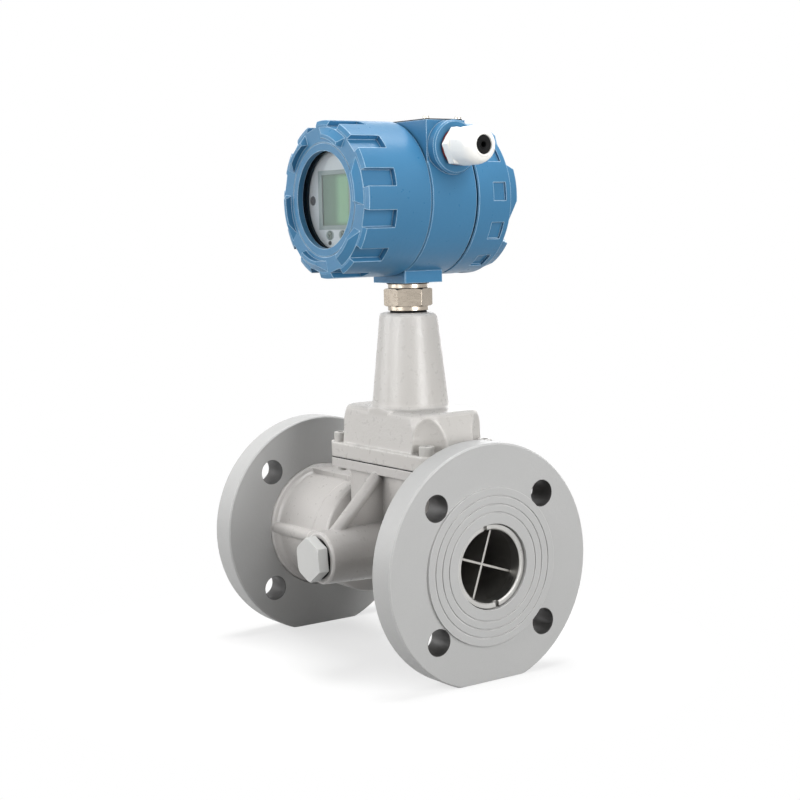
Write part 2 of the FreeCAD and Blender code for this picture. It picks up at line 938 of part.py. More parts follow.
def neck_nipple():
    """Hollow nipple: thread, collar and the spigot that the housing turns on."""
    low = cone_top_z - nipple_thread_length
    body = fused([
        rod(nipple_thread_d, low, neck_seal_top + 1),
        rod(lower_collar_d, neck_seal_top, nut_z),
        rod(spigot_d, nut_z - 1, spigot_top),
    ])
    tools = [
        rod(nipple_bore_d, low - 1, spigot_top + 1),
        tube(spigot_d + 2, clip_groove_d, clip_z - locate_gap, clip_z + clip_thickness + locate_gap),
    ]
    return placed(body.cut(tools), NECK)


def union_nut():
    """Large nickel-plated hexagon nut on the spigot."""
    nut = bevelled_hexagon(union_hex, nut_z, nut_top, union_hex_angle, union_bevel)
    return placed(nut.cut(rod(spigot_d + 2 * thread_gap, nut_z - 1, nut_top + 1)), NECK)


def swivel_bush():
    """Bush with a collar: the housing's bearing on the spigot."""
    collar = rod(upper_collar_d, bush_z, housing_base_z)
    sleeve = rod(swivel_bush_d, bush_z, bush_top)
    bore = rod(spigot_d + 2 * slide_gap, bush_z - 1, bush_top + 1)
    return placed(collar.fuse(sleeve).cut(bore), NECK)


def spigot_clip():
    """Retaining ring in the spigot's groove, inside the housing."""
    return placed(tube(clip_d, clip_groove_d + 2 * locate_gap, clip_z, clip_z + clip_thickness), NECK)


def housing_body():
    """Cast housing: shell, base, top pad and cable bosses."""
    r = housing_d / 2
    c = seam_chamfer
    front = front_seam_y
    back = -rear_seam_y
    shell = revolved([
        (0, back),
        (r - c, back),
        (r, back + c),
        (r, front - c),
        (r - c, front),
        (0, front),
    ])
    shell = placed(shell, FRONT)
    base = block(
        neck_x - base_length / 2, neck_x + base_length / 2,
        -base_width / 2, base_width / 2, housing_base_z, housing_z)
    corners = edges_at(base, lambda p, e: abs(p.z - (housing_base_z + housing_z) / 2) < 0.01)
    base = base.makeChamfer(base_corner, corners)
    pad = block(
        neck_x - top_pad_length / 2, neck_x + top_pad_length / 2,
        -top_pad_width / 2, top_pad_width / 2, housing_z, top_pad_z)
    side = entry_boss_d / 2
    boss = revolved([
        (0, entry_root - entry_boss_reach),
        (side, entry_root - entry_boss_reach),
        (side, -entry_bevel),
        (side - entry_bevel, 0),
        (0, 0),
    ])
    body = fused([shell, base, pad, placed(boss, GLAND), placed(boss, BLANK)])
    above_pad = rounded_prism(top_pad_length, top_pad_width, top_pad_corner, top_pad_z, top_pad_z + r)
    tools = [
        placed(rod(cavity_d, partition_front_y, front + 1), FRONT),
        placed(rod(cavity_d, -partition_back_y, 1 - back), REAR),
        placed(above_pad, NECK),
    ]
    for place in (GLAND, BLANK):
        tools.append(placed(rod(entry_thread_d + 2 * thread_gap, -entry_boss_reach, 1), place))
    tools.append(placed(rod(swivel_bush_d + 2 * locate_gap, housing_base_z - 1, bush_top), NECK))
    tools.append(placed(rod(clip_pocket_d, bush_top, spigot_top + turn_gap), NECK))
    for x, y in top_places:
        hole = rod(top_screw_d + 2 * thread_gap, top_pad_z - top_screw_depth, top_pad_z + 1, x, y)
        tools.append(placed(hole, NECK))
    return body.cut(tools)


def cover_thread(place, seam, length):
    """Threaded neck that a cover screws on to."""
    return placed(tube(thread_neck_d, cavity_d, seam, seam + length), place)


def top_plate():
    """Blank cover plate on the top pad."""
    length = top_pad_length - 2 * top_plate_inset
    width = top_pad_width - 2 * top_plate_inset
    seat = top_pad_z + top_plate_thickness
    sheet = block(-length / 2, length / 2, -width / 2, width / 2, top_pad_z, seat)
    holes = [rod(top_screw_d + screw_gap, top_pad_z - 1, top_pad_z + 2, x, y) for x, y in top_places]
    return placed(sheet.cut(holes), NECK)


def top_screws():
    """Four small screws that hold the plate."""
    seat = top_pad_z + top_plate_thickness
    screws = []
    for x, y in top_places:
        head = rod(top_screw_head_d, seat, seat + top_screw_head, x, y)
        shank = rod(top_screw_d, top_pad_z - top_screw_depth, seat + 0.5, x, y)
        screws.append(placed(head.fuse(shank), NECK))
    return Part.makeCompound(screws)


def wedge_outline(insets, steep, gentle, lead, z):
    """Ring segment whose gentle end is cut back by an angle on the inside."""
    inner = housing_d / 2 - insets[0]
    outer = housing_d / 2 - insets[1]
    inside = gentle - lead
    outer_middle = polar(outer, (steep + gentle) / 2, z)
    inner_middle = polar(inner, (steep + inside) / 2, z)
    return Part.Wire([
        Part.Arc(polar(outer, steep, z), outer_middle, polar(outer, gentle, z)).toShape(),
        Part.makeLine(polar(outer, gentle, z), polar(inner, inside, z)),
        Part.Arc(polar(inner, inside, z), inner_middle, polar(inner, steep, z)).toShape(),
        Part.makeLine(polar(inner, steep, z), polar(outer, steep, z)),
    ])


def crown_wedge(base, top, height):
    """One raised wedge: steep at one end, gentle at the other."""
    low = wedge_outline(base, crown_base_steep, crown_base_gentle, crown_lead, -cover_rim_drop)
    high = wedge_outline(top, crown_top_steep, crown_top_gentle, 0, height)
    return Part.makeLoft([low, high], True, True)


def cover_shell(seam, face, bore_depth, wedge, start):
    """Turned cover with its crown of wedges, before the pockets are cut."""
    r = housing_d / 2
    c = seam_chamfer
    body = revolved([
        (0, seam),
        (r - c, seam),
        (r, seam + c),
        (r, face - cover_rim_drop),
        (r - cover_rim_width, face),
        (0, face),
    ])
    wedge.translate(V(0, 0, face))
    step = 360 / crown_count
    wedges = [wedge.rotated(V(0, 0, 0), UP, start + step * k) for k in range(crown_count)]
    body = fused([body] + wedges)
    neck_bore = rod(thread_neck_d + 2 * thread_gap, seam - 1, bore_depth)
    return body.cut(neck_bore)


def pocket(start, stop, depth):
    """Flat-floored grip pocket on the cover's side at angle 0."""
    edge = housing_d / 2 - depth
    half = edge * sin(radians(pocket_sweep / 2))
    floor = edge * cos(radians(pocket_sweep / 2))
    return block(floor, housing_d / 2 + 1, -half, half, start, stop)


def pockets(start, stop, depth, first):
    """All grip pockets round the cover."""
    one = pocket(start, stop, depth)
    step = 360 / pocket_count
    return [one.rotated(V(0, 0, 0), UP, first + step * k) for k in range(pocket_count)]


def seal_groove(seam):
    """Inner groove of a cover for its ring seal."""
    outer = thread_neck_d + 2 * (slide_gap + seal_section + locate_gap)
    low = seam + seal_offset - locate_gap
    return tube(outer, thread_neck_d - 2, low, low + seal_section + 2 * locate_gap)


def cover_seal(seam):
    """Ring seal between a cover and the housing's neck."""
    bore = thread_neck_d + 2 * slide_gap
    low = seam + seal_offset
    return tube(bore + 2 * seal_section, bore, low, low + seal_section)


def front_cover():
    """Screwed front cover with the window opening."""
    depth = front_seam_y + front_neck_length + 1
    wedge = crown_wedge(front_crown_base, front_crown_top, front_crown_height)
    body = cover_shell(front_cover_seam, cover_front_y, depth, wedge, 0)
    line = window_line_width
    line_bottom = cover_front_y - window_line_depth
    groove = tube(window_line_d + line, window_line_d - line, line_bottom, cover_front_y + 1)
    end = cover_front_y + front_crown_height
    tools = [
        rod(glass_ring_d + 2 * thread_gap, front_cover_seam - 1, glass_back),
        rod(glass_d + 2 * (window_gasket_wall + locate_gap), glass_back - 1, window_seat),
        rod(window_d, window_seat - 1, end + 1),
        groove,
        seal_groove(front_cover_seam),
    ]
    tools += pockets(cover_front_y - pocket_length, end, pocket_depth, pocket_angle)
    return placed(body.cut(tools), FRONT)


def window_gasket_ring():
    """Black gasket over the front and the edge of the glass."""
    outer = glass_d / 2 + window_gasket_wall
    inner = glass_d / 2 + locate_gap
    sight = window_d / 2 + gasket_sight
    ring = revolved([
        (sight, window_seat),
        (outer, window_seat),
        (outer, glass_back),
        (inner, glass_back),
        (inner, glass_front),
        (sight, glass_front),
    ])
    return placed(ring, FRONT)


def window_glass():
    """Flat round window."""
    return placed(rod(glass_d, glass_back, glass_front), FRONT)


def glass_ring():
    """Screwed ring that holds the glass from behind."""
    outer = glass_ring_d / 2
    ring = revolved([
        (glass_ring_bore_d / 2, glass_back),
        (outer, glass_back),
        (outer, ring_back),
        (glass_ring_pocket_d / 2, ring_back),
        (glass_ring_pocket_d / 2, ring_step),
        (glass_ring_bore_d / 2, ring_step),
    ])
    return placed(ring, FRONT)


def rear_cover():
    """Screwed rear cover, closed, with shallow grip pockets."""
    depth = rear_seam_y + rear_neck_length + 1
    wedge = crown_wedge(rear_crown_base, rear_crown_top, rear_crown_height)
    body = cover_shell(rear_cover_seam, cover_rear_y, depth, wedge, rear_crown_angle)
    stop = cover_rear_y - rear_pocket_rim
    tools = [
        rod(cover_bore_d, rear_cover_seam - 1, cover_rear_y - rear_wall),
        seal_groove(rear_cover_seam),
    ]
    first = pocket_angle + rear_crown_angle
    tools += pockets(stop - rear_pocket_length, stop, rear_pocket_depth, first)
    return placed(body.cut(tools), REAR)


def dial_holes(z0, z1):
    """Holes for the keys, at their places on the dial."""
    return [rod(key_d + 2 * key_gap, z0, z1, x, y) for x, y in key_places]


def display_body():
    """Round plastic carrier of the display, on three posts."""
    body = rod(display_body_d, carrier_back, carrier_front)
    key_floor = dial_y + key_proud - key_length - key_travel - key_gap
    tools = dial_holes(key_floor, carrier_front + 1)
    half_w = lcd_width / 2
    half_h = lcd_height / 2
    tools.append(block(-half_w, half_w, -half_h, half_h, carrier_front - lcd_depth, carrier_front + 1))
    return placed(body.cut(tools), FRONT)


def dial_plate():
    """Silver face plate with the display's opening."""
    plate = rod(dial_d, carrier_front, dial_y)
    tools = dial_holes(carrier_front - 1, dial_y + 1)
    half_w = lcd_width / 2
    half_h = lcd_height / 2
    tools.append(block(-half_w, half_w, -half_h, half_h, carrier_front - 1, dial_y + 1))
    return placed(plate.cut(tools), FRONT)


def lcd_glass():
    """Display glass, sunk into the carrier."""
    g = locate_gap
    back = carrier_front - lcd_depth
    half_w = lcd_width / 2 - g
    half_h = lcd_height / 2 - g
    return placed(block(-half_w, half_w, -half_h, half_h, back, dial_y - lcd_sink), FRONT)


def lcd_bezel():
    """Thin raised frame around the display."""
    w = lcd_frame_width / 2
    h = lcd_frame_height / 2
    plate = block(-w, w, -h, h, dial_y, dial_y + lcd_frame_proud)
    opening = block(-lcd_width / 2, lcd_width / 2, -lcd_height / 2, lcd_height / 2, dial_y - 1, dial_y + 2)
    return placed(plate.cut(opening), FRONT)


def dial_screws():
    """Two small screws that hold the face plate."""
    screws = []
    for side in (-1, 1):
        head = rod(dial_screw_d, dial_y, dial_y + dial_screw_head, side * dial_screw_x, 0)
        screws.append(placed(head, FRONT))
    return Part.makeCompound(screws)


def key(x, y):
    """Round push key, free to move inwards."""
    front = dial_y + key_proud
    r = key_d / 2
    c = key_bevel
    back = front - key_length
    cap = revolved([(0, back), (r, back), (r, front - c), (r - c, front), (0, front)])
    cap.translate(V(x, y, 0))
    return placed(cap, FRONT)


def display_posts():
    """Three posts from the partition to the display carrier."""
    posts = []
    for spot in post_places:
        posts.append(placed(rod(post_d, partition_front_y, carrier_back, spot.x, spot.y), FRONT))
    return Part.makeCompound(posts)


def main_board():
    """Round circuit board threaded on the posts."""
    top = board_y + board_thickness
    board = rod(board_d, board_y, top)
    holes = [rod(post_d + 2 * locate_gap, board_y - 1, top + 1, spot.x, spot.y) for spot in post_places]
    return placed(board.cut(holes), FRONT)


def terminal_block():
    """Stepped terminal strip on the partition's rear face."""
    half = terminal_length / 2
    low = -partition_back_y
    strip = block(-half, half, -terminal_height / 2, terminal_height / 2, low, low + terminal_depth)
    top = low + terminal_depth
    edge = -terminal_step
    wall = terminal_wall / 2
    step = block(-half - 1, half + 1, -terminal_height, edge, low + terminal_depth / 2, top + 1)
    walls = []
    pitch = terminal_length / terminal_count
    for k in range(1, terminal_count):
        x = -half + pitch * k
        walls.append(block(x - wall, x + wall, edge, terminal_height, top - terminal_wall_depth, top + 1))
    return placed(strip.cut([step] + walls), REAR)


def terminal_screws():
    """One clamp screw for each terminal."""
    pitch = terminal_length / terminal_count
    seat = -partition_back_y + terminal_depth
    half = terminal_slot_width / 2
    reach = terminal_screw_d
    screws = []
    for k in range(terminal_count):
        x = -terminal_length / 2 + pitch * (k + 0.5)
        y = terminal_screw_rise
        top = seat + terminal_screw_head
        head = rod(terminal_screw_d, seat, top, x, y)
        slot = block(x - reach, x + reach, y - half, y + half, top - terminal_slot_depth, top + 1)
        screws.append(placed(head.cut(slot), REAR))
    return Part.makeCompound(screws)


def gland_seal_ring():
    """Red sealing ring under the gland."""
    bore = entry_thread_d + 2 * thread_gap
    return placed(tube(gland_seal_d, bore, 0, gland_seal), GLAND)


def gland_body():
    """White gland body: thread, hexagon and clamping spigot."""
    body = fused([
        rod(entry_thread_d, -gland_tail, gland_seal + 1),
        bevelled_hexagon(gland_hex, gland_seal, cap_seat, gland_hex_angle, gland_bevel),
        rod(gland_thread_d, cap_seat - 1, cap_seat + gland_thread_length),
    ])
    bore = rod(gland_bore_d, -gland_tail - 1, cap_seat + gland_thread_length + 1)
    return placed(body.cut(bore), GLAND)


def gland_cap():
    """Domed cap nut with flats at its foot."""
    r = cap_base_d / 2
    start = cap_start
    tip = cap_reach
    rim = cap_mouth_d / 2 + cap_rim
    profile = [(0, start), (r, start)]
    for k in range(cap_steps + 1):
        t = k / cap_steps
        profile.append((rim + (r - rim) * sqrt(1 - t ** 2), tip - cap_dome * (1 - t)))
    profile.append((0, tip))
    solid = revolved(profile)
    flats = []
    for k in range(cap_facets):
        flat = block(r - cap_facet_cut, r + 1, -r, r, start - 1, start + cap_facet_length)
        flats.append(flat.rotated(V(0, 0, 0), UP, 30 + 360 / cap_facets * k))
    bore = rod(gland_thread_d + 2 * slide_gap, start - 1, cap_reach - cap_lip)
    mouth_bore = rod(cap_mouth_d, start - 1, cap_reach + 1)
    return placed(solid.cut(flats + [bore, mouth_bore]), GLAND)


def gland_insert():
    """Rubber sealing insert with the cable hole."""
    front = cap_reach - insert_recess
    back = front - insert_length
    body = rod(cap_mouth_d - 2 * locate_gap, back, front)
    return placed(body.cut(rod(insert_hole_d, back - 1, front + 1)), GLAND)


def blanking_plug():
    """Hexagon blanking plug on the unused cable entry."""
    top = gland_seal + blank_head
    head = bevelled_hexagon(gland_hex, gland_seal, top, gland_hex_angle, gland_bevel)
    shank = rod(entry_thread_d, -blank_depth, gland_seal + 1)
    return placed(head.fuse(shank), BLANK)


def blanking_seal():
    """Sealing ring under the blanking plug."""
    bore = entry_thread_d + 2 * thread_gap
    return placed(tube(gland_seal_d, bore, 0, gland_seal), BLANK)


def main():
    """Write every node."""
    os.makedirs("parts", exist_ok=True)
    inlet_face = frame(V(ring_nut_recess, 0, 0), V(0, 1, 0), V(-1, 0, 0))
    outlet_face = frame(V(face_to_face - ring_nut_recess, 0, 0), V(0, 1, 0), V(1, 0, 0))
    nodes = {
        "inlet_flange": flange(0, 1),
        "outlet_flange": flange(face_to_face, -1),
        "inlet_barrel": inlet_barrel(),
        "meter_body": meter_body(),
        "outlet_barrel": outlet_barrel(),
        "inlet_ring_nut": placed(ring_nut(), inlet_face),
        "inlet_swirler": inlet_swirler(),
        "flow_straightener": flow_straightener(),
        "outlet_ring_nut": placed(ring_nut(), outlet_face),
        "boss_plug": boss_plug(),
        "boss_washer": boss_washer(),
        "sensor_probe": sensor_probe(),
        "bonnet_gasket": bonnet_gasket(),
        "bonnet": bonnet(),
        "bonnet_screws": Part.makeCompound([placed(cap_screw(x, y), NECK) for x, y in screw_places]),
        "neck_seal": neck_seal(),
        "neck_nipple": neck_nipple(),
        "union_nut": union_nut(),
        "spigot_clip": spigot_clip(),
        "swivel_bush": swivel_bush(),
        "housing_body": housing_body(),
        "housing_front_neck": cover_thread(FRONT, front_seam_y, front_neck_length),
        "housing_rear_neck": cover_thread(REAR, rear_seam_y, rear_neck_length),
        "top_plate": top_plate(),
        "top_plate_screws": top_screws(),
        "front_cover_seal": placed(cover_seal(front_cover_seam), FRONT),
        "front_cover": front_cover(),
        "window_gasket": window_gasket_ring(),
        "window_glass": window_glass(),
        "window_ring": glass_ring(),
        "rear_cover_seal": placed(cover_seal(rear_cover_seam), REAR),
        "rear_cover": rear_cover(),
        "display_carrier": display_body(),
        "display_face_plate": dial_plate(),
        "display_bezel": lcd_bezel(),
        "display_screen": lcd_glass(),
        "display_screws": dial_screws(),
        "display_posts": display_posts(),
        "main_board": main_board(),
        "terminal_block": terminal_block(),
        "terminal_screws": terminal_screws(),
        "gland_seal_ring": gland_seal_ring(),
        "gland_body": gland_body(),
        "gland_insert": gland_insert(),
        "gland_cap": gland_cap(),
        "blanking_plug": blanking_plug(),
        "blanking_seal": blanking_seal(),
    }
    for number, (x, y) in enumerate(key_places, 1):
        nodes["key_%d" % number] = key(x, y)
    for name, shape in nodes.items():
        save(name, shape)


main()
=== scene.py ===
from math import cos, pi, radians, sin, sqrt

import bmesh
import bpy
from mathutils import Matrix, Vector

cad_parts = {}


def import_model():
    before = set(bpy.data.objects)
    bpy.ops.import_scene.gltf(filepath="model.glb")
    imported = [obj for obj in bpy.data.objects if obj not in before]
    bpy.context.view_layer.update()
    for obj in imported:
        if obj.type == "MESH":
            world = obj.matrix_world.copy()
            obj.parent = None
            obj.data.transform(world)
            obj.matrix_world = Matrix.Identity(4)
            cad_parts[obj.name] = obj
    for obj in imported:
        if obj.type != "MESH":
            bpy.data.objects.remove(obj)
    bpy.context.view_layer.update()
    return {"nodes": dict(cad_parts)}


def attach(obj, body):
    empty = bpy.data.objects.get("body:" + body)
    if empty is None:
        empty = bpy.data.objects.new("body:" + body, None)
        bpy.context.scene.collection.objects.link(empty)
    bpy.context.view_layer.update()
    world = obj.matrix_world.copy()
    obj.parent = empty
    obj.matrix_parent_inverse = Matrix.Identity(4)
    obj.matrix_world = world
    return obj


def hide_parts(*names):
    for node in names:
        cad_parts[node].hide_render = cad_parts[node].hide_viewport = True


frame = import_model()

# Metres in a millimetre
MM = 0.001

# Places and sizes shared with the solids, in millimetres
NECK_X = 140.0  # axis that the housing turns on
HOUSING_Z = 244.0  # axis of the round shell
ENTRY = (194.0, 2.75, 277.0)  # seat of the cable gland
DIAL_Y = -57.9  # front of the face plate
FLOOR_Z = -77.5
BORE_R = 28.5
BOLT_HOLE = 44.2  # from the flow axis to a bolt hole's axis, along Y and along Z
BOLT_HOLE_R = 9.15
KEYS = ((-8.3, -23.6), (7.3, -23.4))  # centres on the face plate
KEY_PROUD = 0.5

# Sockets of Blender's Mix node for colours
MIX_FACTOR = 0
MIX_FIRST = 6
MIX_SECOND = 7
MIX_RESULT = 2

WHITE = (1.0, 1.0, 1.0, 1.0)


# Colours
def linear(code):
    """Linear colour of an sRGB hex code."""
    values = []
    for k in (0, 2, 4):
        c = int(code[k:k + 2], 16) / 255
        values.append(c / 12.92 if c <= 0.04045 else ((c + 0.055) / 1.055) ** 2.4)
    return (*values, 1.0)


def scaled(colour, factor):
    """The colour made lighter or darker."""
    return (*[min(1.0, c * factor) for c in colour[:3]], 1.0)


# Node trees
class Nodes:
    """Short way to build a node tree."""

    def __init__(self, tree):
        self.tree = tree
        self.tree.nodes.clear()

    def add(self, kind, settings=None, **inputs):
        """New node; an input's name has _ where the socket's has a space."""
        node = self.tree.nodes.new(kind)
        for key, value in (settings or {}).items():
            setattr(node, key, value)
        for key, value in inputs.items():
            self.feed(node.inputs[key.replace("_", " ")], value)
        return node

    def feed(self, socket, value):
        """Link another node's output to a socket, or set a plain value on it."""
        if isinstance(value, bpy.types.NodeSocket):
            self.tree.links.new(value, socket)
        else:
            socket.default_value = value

    def span(self, value, low, high, to_low, to_high):
        """Map a value from one range to another, held at both ends."""
        node = self.add("ShaderNodeMapRange")
        for index, item in enumerate((value, low, high, to_low, to_high)):
            self.feed(node.inputs[index], item)
        return node.outputs[0]

    def vary(self, noise, low, high):
        """Spread the part of a noise that holds most of its values over a range."""
        return self.span(noise, 0.3, 0.7, low, high)

    def maths(self, how, first, second=0.0):
        node = self.add("ShaderNodeMath", {"operation": how})
        self.feed(node.inputs[0], first)
        self.feed(node.inputs[1], second)
        return node.outputs[0]

    def background_share(self):
        """1 for rays that only show the background."""
        path = self.add("ShaderNodeLightPath")
        seen = self.maths("MAXIMUM", path.outputs["Is Camera Ray"], path.outputs["Is Glossy Ray"])
        return self.maths("MAXIMUM", seen, path.outputs["Is Transmission Ray"])


class Graph(Nodes):
    """Nodes of a material, in the object's own coordinates."""

    def __init__(self, name):
        self.material = bpy.data.materials.new(name)
        self.material.use_nodes = True
        super().__init__(self.material.node_tree)
        self.out = self.add("ShaderNodeOutputMaterial")
        self.coords = self.add("ShaderNodeTexCoord").outputs["Object"]

    def noise(self, scale, detail=3.0, rough=0.55, stretch=None):
        """Noise with a scale in features a metre."""
        source = self.coords
        if stretch:
            mapping = self.add("ShaderNodeMapping", Vector=self.coords, Scale=stretch)
            source = mapping.outputs[0]
        made = self.add("ShaderNodeTexNoise", Vector=source, Scale=scale, Detail=detail, Roughness=rough)
        return made.outputs["Fac"]

    def mix(self, factor, first, second):
        """Colour between two others."""
        node = self.add("ShaderNodeMix", {"data_type": "RGBA"})
        self.feed(node.inputs[MIX_FACTOR], factor)
        self.feed(node.inputs[MIX_FIRST], first)
        self.feed(node.inputs[MIX_SECOND], second)
        return node.outputs[MIX_RESULT]

    def bevel(self, radius):
        """Normal with the edges rounded to a radius in millimetres."""
        node = self.add("ShaderNodeBevel", {"samples": 8}, Radius=radius * MM)
        return node.outputs[0]

    def edge_mask(self, rounded):
        """High where the rounded normal leaves the flat one, at edges."""
        flat = self.add("ShaderNodeNewGeometry").outputs["Normal"]
        dot = self.add("ShaderNodeVectorMath", {"operation": "DOT_PRODUCT"})
        self.feed(dot.inputs[0], flat)
        self.feed(dot.inputs[1], rounded)
        away = self.maths("SUBTRACT", 1.0, dot.outputs["Value"])
        return self.span(away, 0.004, 0.06, 0.0, 1.0)

    def near_axes(self, away, inner, outer):
        """High within a radius of the lines along X that lie away from the flow axis in Y and in Z."""
        split = self.add("ShaderNodeSeparateXYZ", Vector=self.coords)
        sides = []
        for axis in ("Y", "Z"):
            side = self.maths("SUBTRACT", self.maths("ABSOLUTE", split.outputs[axis]), away * MM)
            sides.append(self.maths("POWER", side, 2.0))
        reach = self.maths("SQRT", self.maths("ADD", *sides))
        return self.span(reach, inner * MM, outer * MM, 1.0, 0.0)

    def shade_in_corners(self, distance):
        """High in corners and recesses, where the materials paint shade."""
        node = self.add("ShaderNodeAmbientOcclusion", {"samples": 16}, Distance=distance * MM)
        return self.span(node.outputs["AO"], 0.15, 0.66, 1.0, 0.0)

    def bump(self, height, strength, distance, normal=None):
        """Normal with a relief whose depth is a distance in millimetres."""
        node = self.add("ShaderNodeBump", Strength=strength, Distance=distance * MM, Height=height)
        if normal is not None:
            self.feed(node.inputs["Normal"], normal)
        return node.outputs[0]

    def surface(self, shader):
        """Show a shader on the material's surface."""
        self.tree.links.new(shader.outputs[0], self.out.inputs[0])

    def shade(self, **inputs):
        """Show the principled shader."""
        self.surface(self.add("ShaderNodeBsdfPrincipled", None, **inputs))

    def blend(self, share, first, second):
        """Show a shader between two others."""
        node = self.add("ShaderNodeMixShader")
        self.feed(node.inputs[0], share)
        self.feed(node.inputs[1], first.outputs[0])
        self.feed(node.inputs[2], second.outputs[0])
        self.surface(node)


# Materials
def coated(name, code, rough, round_mm, skin, edge_highlight_code, grime=0.10, shine=0.5, speckle=0.05,
           corner_shade=0.35, reach=7.0, least_highlight=0.25, bare_and_shaded=None):
    """Sprayed paint: cloudy tone, speckle, orange-peel skin, a painted highlight along edges and painted
    shade in corners.

    The last argument gives near_axes and a colour, for a bore or holes that the paint leaves bare; their
    dark colour is bare metal and painted shade.
    """
    g = Graph(name)
    base = linear(code)
    cloud = g.noise(14.0, 4.0)
    tone = g.mix(g.vary(cloud, 0.0, 1.0), scaled(base, 1 - grime / 2), scaled(base, 1 + grime / 2))
    grain = g.noise(1900.0, 2.0)
    tone = g.mix(g.span(grain, 0.35, 0.65, 0.0, speckle), tone, scaled(base, 0.45))
    rounded = g.bevel(round_mm)
    # Painted highlight: a patchy pale line along the edges, in the edge colour.
    highlight_patch = g.span(g.noise(90.0, 5.0), 0.35, 0.62, least_highlight, 1.0)
    tone = g.mix(g.maths("MULTIPLY", g.edge_mask(rounded), highlight_patch), tone, linear(edge_highlight_code))
    # Painted shade: darker in corners and recesses.
    tone = g.mix(g.maths("MULTIPLY", g.shade_in_corners(reach), corner_shade), tone, scaled(base, 0.3))
    # Bore or bolt-hole walls in a dark colour: bare metal and painted shade.
    if bare_and_shaded:
        away, inner, outer, dark = bare_and_shaded
        tone = g.mix(g.near_axes(away, inner, outer), tone, linear(dark))
    peel = g.maths("MULTIPLY", g.noise(260.0, 2.0), skin)
    sand = g.maths("MULTIPLY", g.noise(900.0, 3.0), 0.55 * skin)
    normal = g.bump(g.maths("ADD", peel, sand), 0.5, 0.35, rounded)
    roughness = g.vary(g.noise(240.0, 3.0), rough - 0.05, rough + 0.07)
    g.shade(Base_Color=tone, Roughness=roughness, Normal=normal, Specular_IOR_Level=shine)
    return g.material


def metal(name, code, rough, round_mm, lines=(1.0, 1.0, 1.0), stain=0.10, scratch=0.3, corner_shade=0.4):
    """Plain or plated metal: turned or brushed lines, stains, soft edges with a painted highlight, and
    painted shade in seams.
    """
    g = Graph(name)
    base = linear(code)
    cloud = g.noise(45.0, 5.0)
    tone = g.mix(g.vary(cloud, 0.0, 1.0), scaled(base, 1 - stain), scaled(base, 1 + stain * 0.4))
    rounded = g.bevel(round_mm)
    # Painted highlight: edges a little lighter.
    tone = g.mix(g.edge_mask(rounded), tone, scaled(base, 1.12))
    # Painted shade: darker in seams and corners.
    tone = g.mix(g.maths("MULTIPLY", g.shade_in_corners(4.0), corner_shade), tone, scaled(base, 0.1))
    marks = g.noise(700.0, 3.0, 0.6, lines)
    normal = g.bump(marks, scratch, 0.05, rounded)
    roughness = g.vary(marks, rough - 0.07, rough + 0.09)
    g.shade(Base_Color=tone, Roughness=roughness, Metallic=1.0, Normal=normal)
    return g.material


def plastic(name, code, rough, round_mm, skin=0.12, spread=0.05, shine=0.5, coat=0.0, inside=0.0,
            glow=0.0):
    """Moulded plastic or rubber with a faint skin, uneven gloss, a painted highlight on edges and a
    painted glow where glow is set.
    """
    g = Graph(name)
    base = linear(code)
    cloud = g.noise(60.0, 4.0)
    tone = g.mix(g.vary(cloud, 0.0, 1.0), scaled(base, 1 - spread), scaled(base, 1 + spread))
    rounded = g.bevel(round_mm)
    # Painted highlight: edges a little lighter.
    tone = g.mix(g.edge_mask(rounded), tone, scaled(base, 1.06))
    fine = g.noise(1300.0, 3.0)
    normal = g.bump(fine, skin, 0.12, rounded)
    roughness = g.vary(g.noise(180.0, 3.0), rough - 0.05, rough + 0.08)
    # The emission is a painted glow that lifts the shaded sides.
    g.shade(Base_Color=tone, Roughness=roughness, Normal=normal, Specular_IOR_Level=shine,
            Emission_Color=base, Emission_Strength=glow, Coat_Weight=coat, Coat_Roughness=0.12,
            Subsurface_Weight=inside, Subsurface_Radius=(2 * MM, 2 * MM, 2 * MM))
    return g.material


def window_material():
    """Clear window glass with faint smears."""
    g = Graph("window_glass_clear")
    smear = g.noise(70.0, 4.0, 0.6, (1.0, 1.0, 0.35))
    clear = g.add("ShaderNodeBsdfTransparent", Color=linear("f6faf9"))
    gloss = g.add("ShaderNodeBsdfGlossy", Roughness=g.span(smear, 0.4, 0.7, 0.01, 0.06))
    facing = g.add("ShaderNodeLayerWeight", Blend=0.5).outputs["Facing"]
    share = g.span(g.maths("POWER", facing, 4.0), 0.0, 1.0, 0.03, 0.6)
    g.blend(share, clear, gloss)
    return g.material


